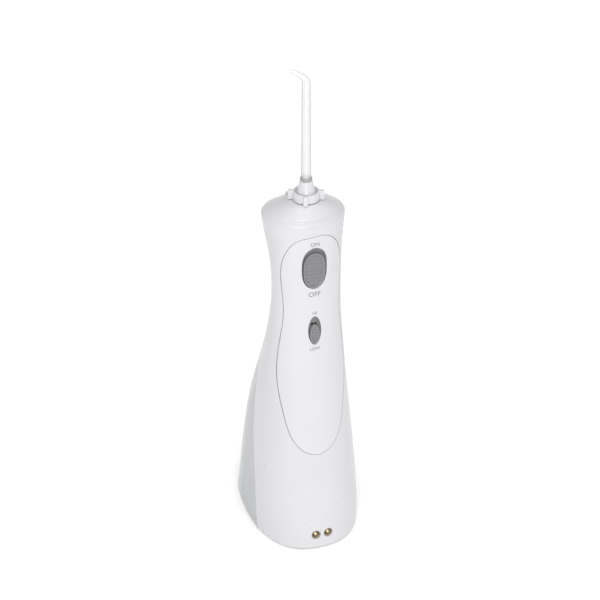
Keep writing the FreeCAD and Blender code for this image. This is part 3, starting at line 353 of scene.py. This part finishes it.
SHELL = moulded("shell_white", (0.532, 0.530, 0.547), (0.544, 0.542, 0.559), 0.30, 0.03, 700.0, 0.03,
                coat=0.15, edge=0.0003)
PANEL = moulded("panel_white", (0.540, 0.538, 0.555), (0.552, 0.550, 0.567), 0.32, 0.03, 700.0, 0.03,
                coat=0.12, edge=0.00025)
KNOB = moulded("knob_white", (0.54, 0.54, 0.56), (0.555, 0.555, 0.575), 0.33, 0.03, 800.0, 0.04)
SLIDER = moulded("slider_grey", (0.165, 0.165, 0.172), (0.185, 0.185, 0.192), 0.42, 0.05, 1500.0, 0.10)
LINER = moulded("liner_grey", (0.15, 0.15, 0.155), (0.17, 0.17, 0.175), 0.55, 0.05, 1500.0, 0.10)
RING = moulded("ring_grey", (0.27, 0.27, 0.275), (0.30, 0.30, 0.305), 0.35, 0.04, 1200.0, 0.05)
# The second colour of each clear material is painted shade: the dark limb that refraction shows where a wall
# turns edge on.
TANK = clear("tank_clear", (0.95, 0.955, 0.965), (0.30, 0.31, 0.33), 0.08, 0.14, 0.85)
TIP = clear("tip_clear", (0.95, 0.95, 0.965), (0.10, 0.10, 0.11), 0.12, 0.34, 0.97)
BRASS = brushed("contact_brass", (0.50, 0.40, 0.24), (0.66, 0.56, 0.36), 0.30, (1, 1, 1), 900.0)
STEEL = brushed("steel", (0.50, 0.50, 0.51), (0.62, 0.62, 0.63), 0.28)
NICKEL = brushed("nickel", (0.60, 0.58, 0.54), (0.70, 0.69, 0.66), 0.25, (40, 1, 1))
RUBBER = moulded("rubber_black", (0.018, 0.018, 0.018), (0.028, 0.028, 0.028), 0.6, 0.08, 1800.0, 0.15)
HOSE = moulded("hose_milky", (0.60, 0.60, 0.58), (0.68, 0.68, 0.66), 0.40, 0.05, 900.0, 0.06)
ACETAL = moulded("acetal_white", (0.68, 0.67, 0.63), (0.74, 0.73, 0.69), 0.42, 0.05, 1100.0, 0.06)
INNER = moulded("inner_grey", (0.42, 0.43, 0.45), (0.48, 0.49, 0.51), 0.50, 0.06, 1200.0, 0.10)
DARK = moulded("dark_plastic", (0.03, 0.03, 0.033), (0.045, 0.045, 0.05), 0.50, 0.06, 1500.0, 0.12)
BOARD = moulded("board_green", (0.020, 0.10, 0.045), (0.03, 0.14, 0.06), 0.35, 0.05, 1500.0, 0.08)
CELL = moulded("cell_wrap", (0.06, 0.22, 0.21), (0.08, 0.27, 0.26), 0.30, 0.04, 500.0, 0.04)
INK = moulded("ink_grey", (0.13, 0.13, 0.14), (0.16, 0.16, 0.17), 0.5, 0.05, 2000.0, 0.05)
CUP = moulded("cup_grey", (0.29, 0.255, 0.205), (0.34, 0.30, 0.245), 0.45, 0.05, 1200.0, 0.08)

SLOT_MATERIAL = {
    "white_shell": SHELL, "grey_slider": SLIDER, "grey_liner": LINER, "clear_tank": TANK, "clear_tip": TIP,
    "rubber_seal": RUBBER, "soft_tube": HOSE, "brass_contact": BRASS, "steel_parts": STEEL,
    "nickel_strip": NICKEL, "white_gear": ACETAL, "inner_plastic": INNER, "dark_plastic": DARK,
    "board_green": BOARD, "cell_wrap": CELL,
}
OWN_MATERIAL = {"control_panel": PANEL, "tip_ring": RING, "contact_holder": CUP, "tip_knob": KNOB}


def paint(obj, material):
    obj.data.materials.clear()
    obj.data.materials.append(material)
    for p in obj.data.polygons if obj.type == "MESH" else ():
        p.material_index = 0


node_slot = {s["node"]: s["material_slot"] for s in frame["record"]["subparts"]}
for node, obj in NODES.items():
    paint(obj, OWN_MATERIAL.get(node, SLOT_MATERIAL[node_slot[node]]))


# ---------------------------------------------------------------- mesh helpers
def object_from(name, verts, faces, material, body, smooth=35):
    mesh = bpy.data.meshes.new(name)
    mesh.from_pydata([tuple(c * MM for c in v) for v in verts], [], faces)
    bm = bmesh.new()
    bm.from_mesh(mesh)
    bmesh.ops.remove_doubles(bm, verts=bm.verts, dist=2e-6)
    bmesh.ops.recalc_face_normals(bm, faces=bm.faces)
    bm.to_mesh(mesh)
    bm.free()
    smooth_by_angle(mesh, smooth)
    obj = bpy.data.objects.new(name, mesh)
    bpy.context.scene.collection.objects.link(obj)
    mesh.materials.append(material)
    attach(obj, body)
    return obj


def grid_faces(rows, cols, wrap_cols=False, wrap_rows=False, start=0):
    faces = []
    for i in range(rows if wrap_rows else rows - 1):
        for j in range(cols if wrap_cols else cols - 1):
            a, b = i, (i + 1) % rows
            c, d = j, (j + 1) % cols
            corners = (a * cols + c, a * cols + d, b * cols + d, b * cols + c)
            faces.append(tuple(start + k for k in corners))
    return faces


def rounded(points, radii, steps=5):
    """A polyline in (r, z) with its corners rounded."""
    out = [Vector(points[0])]
    for i in range(1, len(points) - 1):
        p, a, b = Vector(points[i]), Vector(points[i - 1]), Vector(points[i + 1])
        r = min(radii[i], 0.49 * (a - p).length, 0.49 * (b - p).length)
        if r <= 0:
            out.append(p)
            continue
        s, e = p + (a - p).normalized() * r, p + (b - p).normalized() * r
        for k in range(steps + 1):
            t = k / steps
            out.append(s * (1 - t) ** 2 + p * 2 * t * (1 - t) + e * t * t)
    out.append(Vector(points[-1]))
    return out


def lathe(name, profile, centre, material, body, segments=96, axis="Z", closed=False, wobble=None):
    """Turns an (r, h) profile about an axis; wobble(k, angle) adds (dr, dh) to profile point k."""
    verts = []
    for j in range(segments):
        t = 2 * math.pi * j / segments
        for k, (r, h) in enumerate(profile):
            dr, dh = wobble(k, t) if wobble else (0, 0)
            x, y = (r + dr) * math.cos(t), (r + dr) * math.sin(t)
            local = (x, y, h + dh) if axis == "Z" else (x, h + dh, y)
            verts.append(tuple(c + l for c, l in zip(centre, local)))
    faces = grid_faces(segments, len(profile), wrap_cols=closed, wrap_rows=True)
    return object_from(name, verts, faces, material, body)


def tube_mesh(name, path, radii, bores, material, body, segments=48):
    """A hollow stem along a path: outer rings up, inner rings back down, closed at both ends."""
    tangents = []
    for i in range(len(path)):
        a, b = path[max(0, i - 1)], path[min(len(path) - 1, i + 1)]
        tangents.append((b - a).normalized())
    ref = Vector((0, 1, 0))
    rings = []
    for side in (1, -1):
        order = range(len(path)) if side == 1 else reversed(range(len(path)))
        for i in order:
            t = tangents[i]
            u = (ref - t * ref.dot(t)).normalized()
            w = t.cross(u)
            r = radii[i] if side == 1 else bores[i]
            turns = [2 * math.pi * j / segments for j in range(segments)]
            rings.append([path[i] + (u * math.cos(turn) + w * math.sin(turn)) * r for turn in turns])
    verts = [tuple(v) for ring in rings for v in ring]
    faces = grid_faces(len(rings), segments, wrap_cols=True, wrap_rows=True)
    return object_from(name, verts, faces, material, body)


def skin_front(x, z):
    """Y of the front skin at a given X and Z."""
    w, f, b = body_level(np.asarray(z, float))
    h, m = (b - f) / 2, (f + b) / 2
    n = squareness(np.asarray(z, float))
    return m - h * np.maximum(0.0, 1 - np.minimum(1.0, np.abs(x / w)) ** n) ** (1 / n)


# ---------------------------------------------------------------- shells
housing = skinned_copy("front_housing", body_level, [0.0, 2.6], "front_housing_shell")
paint(housing, SHELL)
panel = skinned_copy("control_panel", body_level, [0.0, 1.4], "control_panel_plate")
paint(panel, PANEL)
rear = skinned_copy("rear_housing", body_level, [0.0, 2.6], "rear_housing_shell")
paint(rear, SHELL)
cap = skinned_copy("top_cap", dome_level, [0.0], "top_cap_dome", max_edge=1.6, tol=0.25,
                   z_limits=(212.1, 221.6))
paint(cap, SHELL)
button = skinned_copy("eject_button", lambda z: dome_level(z - 1.7), [0.0], "release_button", max_edge=1.0,
                      tol=0.15, z_limits=(217.8, 223.6))
paint(button, KNOB)
tank = skinned_copy("reservoir", body_level, [0.0, 2.4], "reservoir_tank")
paint(tank, TANK)
door = skinned_copy("reservoir_door", body_level, [0.0, 1.3], "reservoir_door_panel")
paint(door, TANK)


# ---------------------------------------------------------------- finger sliders
SLIDER_PROUD = 0.5
SLIDER_DEPTH = 1.2
SLIDER_EDGE_R = 0.6
RIB_DEPTH = 0.34
RIDGE_SHARE = 0.65
NEARLY_ALL = 0.9995


def oval_half_width(dz, half, r, full, tip):
    return r * max(0.0, 1 - min(1.0, abs(dz) / half) ** full) ** (1 / tip)


def oval_depth(x, dz, half, r, full, tip):
    """How far a point lies inside the oval's outline, near enough for a rounded edge."""
    u, v = abs(x) / r, abs(dz) / half
    slope = math.hypot(tip / r * u ** (tip - 1), full / half * v ** (full - 1))
    return (1 - u ** tip - v ** full) / max(slope, 0.02)


def smoothstep(t):
    t = min(max(t, 0.0), 1.0)
    return t * t * (3 - 2 * t)


def slider_piece(name, node, width, length, zc, full, tip, ridge_at, pitch, dish):
    """A dished thumb slider with fine ribs across it and one higher ridge."""
    half, r = length / 2, width / 2
    rows, cols = 220, 44
    verts = []
    across = -np.cos(np.pi * np.arange(cols) / (cols - 1))
    down = -np.cos(np.pi * np.arange(rows) / (rows - 1)) * half * NEARLY_ALL
    widths = np.array([oval_half_width(d, half, r, full, tip) for d in down])
    tops = [skin_front(w * across, np.full(cols, zc + d)) for w, d in zip(widths, down)]
    for layer in (0, 1):
        for i in range(rows):
            s = -math.cos(math.pi * i / (rows - 1))
            dz = half * s * NEARLY_ALL
            hw = oval_half_width(dz, half, r, full, tip)
            for j in range(cols):
                u = -math.cos(math.pi * j / (cols - 1))
                x = hw * u
                z = zc + dz
                top = tops[i][j] - SLIDER_PROUD
                if layer == 1:
                    verts.append((x, top + SLIDER_PROUD + SLIDER_DEPTH, z))
                    continue
                edge = max(0.0, oval_depth(x, dz, half, r, full, tip))
                y = top
                if edge < SLIDER_EDGE_R:
                    inward = SLIDER_EDGE_R - edge
                    y += SLIDER_EDGE_R - math.sqrt(max(0.0, SLIDER_EDGE_R ** 2 - inward ** 2))
                bowl = smoothstep((edge - 0.75) / 1.1)
                ridge = math.exp(-((dz / half - ridge_at) / 0.10) ** 2)
                y += bowl * dish * (1 - RIDGE_SHARE * ridge)
                wave = 0.5 - 0.5 * math.cos(2 * math.pi * (dz - ridge_at * half) / pitch)
                reach = smoothstep((edge - 1.3) / 0.5)
                y += reach * RIB_DEPTH * wave ** 2
                verts.append((x, y, z))
    n = rows * cols
    faces = grid_faces(rows, cols) + grid_faces(rows, cols, start=n)
    rim = ([i * cols for i in range(rows)] + [(rows - 1) * cols + j for j in range(1, cols)]
           + [i * cols + cols - 1 for i in range(rows - 2, -1, -1)] + [j for j in range(cols - 2, 0, -1)])
    for k in range(len(rim)):
        a, b = rim[k], rim[(k + 1) % len(rim)]
        faces.append((a, b, b + n, a + n))
    obj = object_from(name, verts, faces, SLIDER, node, 50)
    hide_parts(node)
    return obj


# Each slider rests a gap above the low end of its slot.
SLIDER_GAP = 0.35
POWER_SLOT_Z, POWER_SLOT_LEN, POWER_LEN = 186.3, 26.1, 22.4
PRESSURE_SLOT_Z, PRESSURE_SLOT_LEN, PRESSURE_LEN = 146.2, 18.4, 12.8
POWER_Z = POWER_SLOT_Z - (POWER_SLOT_LEN - POWER_LEN) / 2 + SLIDER_GAP
PRESSURE_Z = PRESSURE_SLOT_Z - (PRESSURE_SLOT_LEN - PRESSURE_LEN) / 2 + SLIDER_GAP
slider_piece("power_slider_thumb", "power_slider", width=12.8, length=POWER_LEN, zc=POWER_Z,
             full=3.0, tip=1.8, ridge_at=-0.12, pitch=2.3, dish=0.55)
slider_piece("pressure_slider_thumb", "pressure_slider", width=6.1, length=PRESSURE_LEN, zc=PRESSURE_Z,
             full=2.0, tip=1.8, ridge_at=0.0, pitch=1.9, dish=0.4)


# ---------------------------------------------------------------- knob, ring and tip
HEADING = math.radians(159.0)
COLLAR_Z, COLLAR_R, FIN_R, CONE_TOP = 222.3, 7.5, 9.9, 233.5
FIN_COUNT = 4
FIN_HALF_ANGLE, FIN_BLEND = math.radians(9.5), math.radians(3.0)
FIN_LIFT, FIN_LIFT_FROM, FIN_LIFT_OVER = 0.3, 225.0, 1.8


def fin_share(angle):
    best = 0.0
    for k in range(FIN_COUNT):
        d = abs((angle - HEADING - k * math.pi / 2 + math.pi) % (2 * math.pi) - math.pi)
        best = max(best, smoothstep((FIN_HALF_ANGLE - d) / FIN_BLEND))
    return best


# From the bore, down the hub, out round the collar, into the groove inside its rim, then up the cone.
knob_points = [(2.66, 216.0), (5.9, 216.0), (6.0, 216.2), (6.0, 222.3), (7.3, 222.3), (7.5, 222.6),
               (7.5, 226.7), (7.2, 227.3), (6.3, 227.3), (5.95, 226.9), (5.85, 226.2), (5.5, 226.2),
               (5.2, 227.3), (4.5, 229.2), (3.95, 231.2), (3.55, 233.2), (3.35, 233.5), (2.66, 233.5)]
knob_profile = rounded(knob_points,
                       [0, .1, .1, .1, .2, .3, .5, .3, .3, .2, .1, .1, .8, 1.2, 1.2, .2, .1, 0], 4)
RIM_INNER_R = 6.2


def knob_wobble(k, angle):
    r, z = knob_profile[k]
    if z < COLLAR_Z - 0.01 or r < RIM_INNER_R:
        return 0, 0
    share = fin_share(angle)
    out = (FIN_R - COLLAR_R) * share * smoothstep((r - RIM_INNER_R) / (COLLAR_R - RIM_INNER_R))
    lift = FIN_LIFT * share * smoothstep((z - FIN_LIFT_FROM) / FIN_LIFT_OVER)
    lift *= smoothstep((r - RIM_INNER_R) / 0.8)
    return out, lift


knob = lathe("tip_knob_collar", knob_profile, (0, TIP_Y, 0), KNOB, "knob", 360, closed=True,
             wobble=knob_wobble)
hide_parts("tip_knob")

ring_profile = rounded([(2.76, 233.6), (3.35, 233.6), (3.35, 235.0), (2.76, 235.0), (2.76, 234.3)],
                       [0.1, 0.25, 0.25, 0.1, 0], 4)
band = lathe("tip_id_ring", ring_profile, (0, TIP_Y, 0), RING, "tip", 96, closed=True)
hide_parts("tip_ring")

TILT = math.radians(61.0)
SHANK_Z = 206.0
BEND_Z, NOZZLE, BEND_R = 292.2, 8.7, 4.0
side = Vector((math.cos(HEADING), math.sin(HEADING), 0))
up = Vector((0, 0, 1))
trim = BEND_R * math.tan(TILT / 2)
stem_top = Vector((0, TIP_Y, BEND_Z - trim))
centre = stem_top + side * BEND_R
path = [Vector((0, TIP_Y, SHANK_Z + (stem_top.z - SHANK_Z) * i / 90)) for i in range(91)]
path += [centre - side * (BEND_R * math.cos(TILT * i / 16)) + up * (BEND_R * math.sin(TILT * i / 16))
         for i in range(1, 17)]
nozzle_dir = side * math.sin(TILT) + up * math.cos(TILT)
path += [path[-1] + nozzle_dir * ((NOZZLE - trim) * i / 12) for i in range(1, 13)]
lengths = [0.0]
for a, b in zip(path, path[1:]):
    lengths.append(lengths[-1] + (b - a).length)
CONE_AT = CONE_TOP - SHANK_Z
SHANK_R, GROOVE_DEPTH, GROOVE_FROM, GROOVE_TO, GROOVE_BLEND = 2.6, 0.4, 7.7, 9.1, 0.2
STEM_R, STEM_TAPER, NOZZLE_TAPER = 2.75, 0.55, 1.05
BORE_R, BORE_TAPER, BORE_NOZZLE_TAPER, BORE_LEAST = 1.5, 0.5, 0.55, 0.45


def stem_radius(s):
    if s < CONE_AT:
        groove = smoothstep((s - GROOVE_FROM) / GROOVE_BLEND) - smoothstep((s - GROOVE_TO) / GROOVE_BLEND)
        return SHANK_R - GROOVE_DEPTH * groove
    t = (s - CONE_AT) / (lengths[-1] - CONE_AT)
    return STEM_R - STEM_TAPER * t - NOZZLE_TAPER * smoothstep((t - 0.8) / 0.2)


def bore_radius(s):
    t = s / lengths[-1]
    return max(BORE_LEAST, BORE_R - BORE_TAPER * t - BORE_NOZZLE_TAPER * smoothstep((t - 0.85) / 0.15))


radii = [stem_radius(s) for s in lengths]
bores = [bore_radius(s) for s in lengths]
tip = tube_mesh("jet_tip_clear", path, radii, bores, TIP, "tip", 64)
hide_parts("jet_tip")


# ---------------------------------------------------------------- charging pins
pin_profile = rounded([(0.0, -49.5), (0.7, -49.45), (1.6, -48.6), (1.6, -47.9), (1.6, -40.8), (0.0, -40.8)],
                      [0, 0.3, 0.6, 0.1, 0.1, 0], 5)
PIN_X, PIN_Z = 3.8, 10.2
for label, x in (("left", -PIN_X), ("right", PIN_X)):
    pin = lathe("charge_pin_" + label, pin_profile, (x, 0, PIN_Z), BRASS, "housing", 48, axis="Y")
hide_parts("charge_contacts")


# ---------------------------------------------------------------- printed words
INK_PROUD = 0.04
INK_THICKNESS = 0.05


def printed(name, text, size, z):
    """A word printed on the middle of the panel, as thin as a layer of ink."""
    curve = bpy.data.curves.new(name, "FONT")
    curve.body = text
    curve.size = size * MM
    curve.align_x = "CENTER"
    curve.align_y = "CENTER"
    temp = bpy.data.objects.new(name + "_flat", curve)
    bpy.context.scene.collection.objects.link(temp)
    bpy.context.view_layer.update()
    flat = bpy.data.meshes.new_from_object(temp)
    bpy.data.objects.remove(temp)
    bm = bmesh.new()
    bm.from_mesh(flat)
    bmesh.ops.triangulate(bm, faces=bm.faces)
    for _ in range(3):
        long_edges = [e for e in bm.edges if e.calc_length() > 0.5 * MM]
        bmesh.ops.subdivide_edges(bm, edges=long_edges, cuts=1)
        bmesh.ops.triangulate(bm, faces=[f for f in bm.faces if len(f.verts) > 3])
    for v in bm.verts:
        px, pz = v.co.x / MM, v.co.y / MM + z
        hit, place, _, _ = panel.ray_cast(Vector((px, -80.0, pz)) * MM, Vector((0, 1, 0)))
        surface = place.y / MM if hit else float(skin_front(px, pz))
        v.co = Vector((px, surface - INK_PROUD, pz)) * MM
    extra = bmesh.ops.extrude_face_region(bm, geom=bm.faces[:])
    for v in extra["geom"]:
        if isinstance(v, bmesh.types.BMVert):
            v.co.y += INK_THICKNESS * MM
    bmesh.ops.recalc_face_normals(bm, faces=bm.faces)
    mesh = bpy.data.meshes.new(name)
    bm.to_mesh(mesh)
    bm.free()
    obj = bpy.data.objects.new(name, mesh)
    bpy.context.scene.collection.objects.link(obj)
    mesh.materials.append(INK)
    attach(obj, "housing")
    return obj


printed("label_on", "ON", size=3.4, z=201.4)
printed("label_off", "OFF", size=4.1, z=169.6)
printed("label_hi", "HI", size=2.75, z=157.4)
printed("label_low", "LOW", size=2.75, z=134.4)


# ---------------------------------------------------------------- studio
def plain(name, color, rough):
    m, tree, b = new_material(name, color, rough)
    tree.links.new(two_tones(tree, noise_node(tree, 3.0), tuple(c * 0.995 for c in color), color),
                   b.inputs["Base Color"])
    b.inputs["Specular IOR Level"].default_value = 0.1
    return m


FLOOR_HALF = 6.0
FLOOR_DROP = 0.0002
SURROUND_STRENGTH = 0.68
floor_mesh = bpy.data.meshes.new("floor")
floor_mesh.from_pydata([(-FLOOR_HALF, -FLOOR_HALF, 0), (FLOOR_HALF, -FLOOR_HALF, 0),
                        (FLOOR_HALF, FLOOR_HALF, 0), (-FLOOR_HALF, FLOOR_HALF, 0)], [], [(0, 1, 2, 3)])
floor = bpy.data.objects.new("floor", floor_mesh)
floor.location.z = -FLOOR_DROP
floor_mesh.materials.append(plain("floor_white", (0.97, 0.97, 0.97), 0.8))
bpy.context.scene.collection.objects.link(floor)

world = bpy.data.worlds.new("studio")
bpy.context.scene.world = world
world.use_nodes = True
world.node_tree.nodes["Background"].inputs["Color"].default_value = (1, 1, 1, 1)
world.node_tree.nodes["Background"].inputs["Strength"].default_value = SURROUND_STRENGTH


def area_light(name, place, target, size, power):
    data = bpy.data.lights.new(name, "AREA")
    data.shape = "RECTANGLE"
    data.size, data.size_y = size
    data.energy = power
    obj = bpy.data.objects.new(name, data)
    bpy.context.scene.collection.objects.link(obj)
    obj.location = place
    obj.rotation_mode = "QUATERNION"
    obj.rotation_quaternion = (Vector(target) - Vector(place)).to_track_quat("-Z", "Y")


def sun_light(name, direction, strength, angle):
    data = bpy.data.lights.new(name, "SUN")
    data.energy = strength
    data.angle = math.radians(angle)
    obj = bpy.data.objects.new(name, data)
    bpy.context.scene.collection.objects.link(obj)
    obj.rotation_mode = "QUATERNION"
    obj.rotation_quaternion = Vector(direction).to_track_quat("-Z", "Y")


area_light("front", place=(-0.42, -1.37, 0.65), target=(0, 0, 0.13), size=(0.6, 0.6), power=11.0)
sun_light("overhead", direction=(0.02, 0.25, -1.0), strength=1.2, angle=60.0)

# ---------------------------------------------------------------- camera
AZ, EL = math.radians(-19.14), math.radians(31.45)
DISTANCE = 0.850
SENSOR_WIDTH = 36.0
LENS = 90.2232
SHIFT_X = -0.0103
AIM_HEIGHT = 0.15769
back = Vector((math.sin(AZ) * math.cos(EL), -math.cos(AZ) * math.cos(EL), math.sin(EL)))
target = Vector((0, TIP_Y * MM, AIM_HEIGHT))
cam_data = bpy.data.cameras.new("camera")
cam_data.sensor_width = SENSOR_WIDTH
cam_data.lens = LENS
cam_data.shift_x = SHIFT_X
cam = bpy.data.objects.new("camera", cam_data)
bpy.context.scene.collection.objects.link(cam)
cam.location = target + back * DISTANCE
cam.rotation_mode = "QUATERNION"
cam.rotation_quaternion = (-back).to_track_quat("-Z", "Y")
bpy.context.scene.camera = cam

scene = bpy.context.scene
scene.view_settings.view_transform = "Standard"
scene.view_settings.look = "None"
scene.view_settings.exposure = 0.0
scene.view_settings.gamma = 1.0
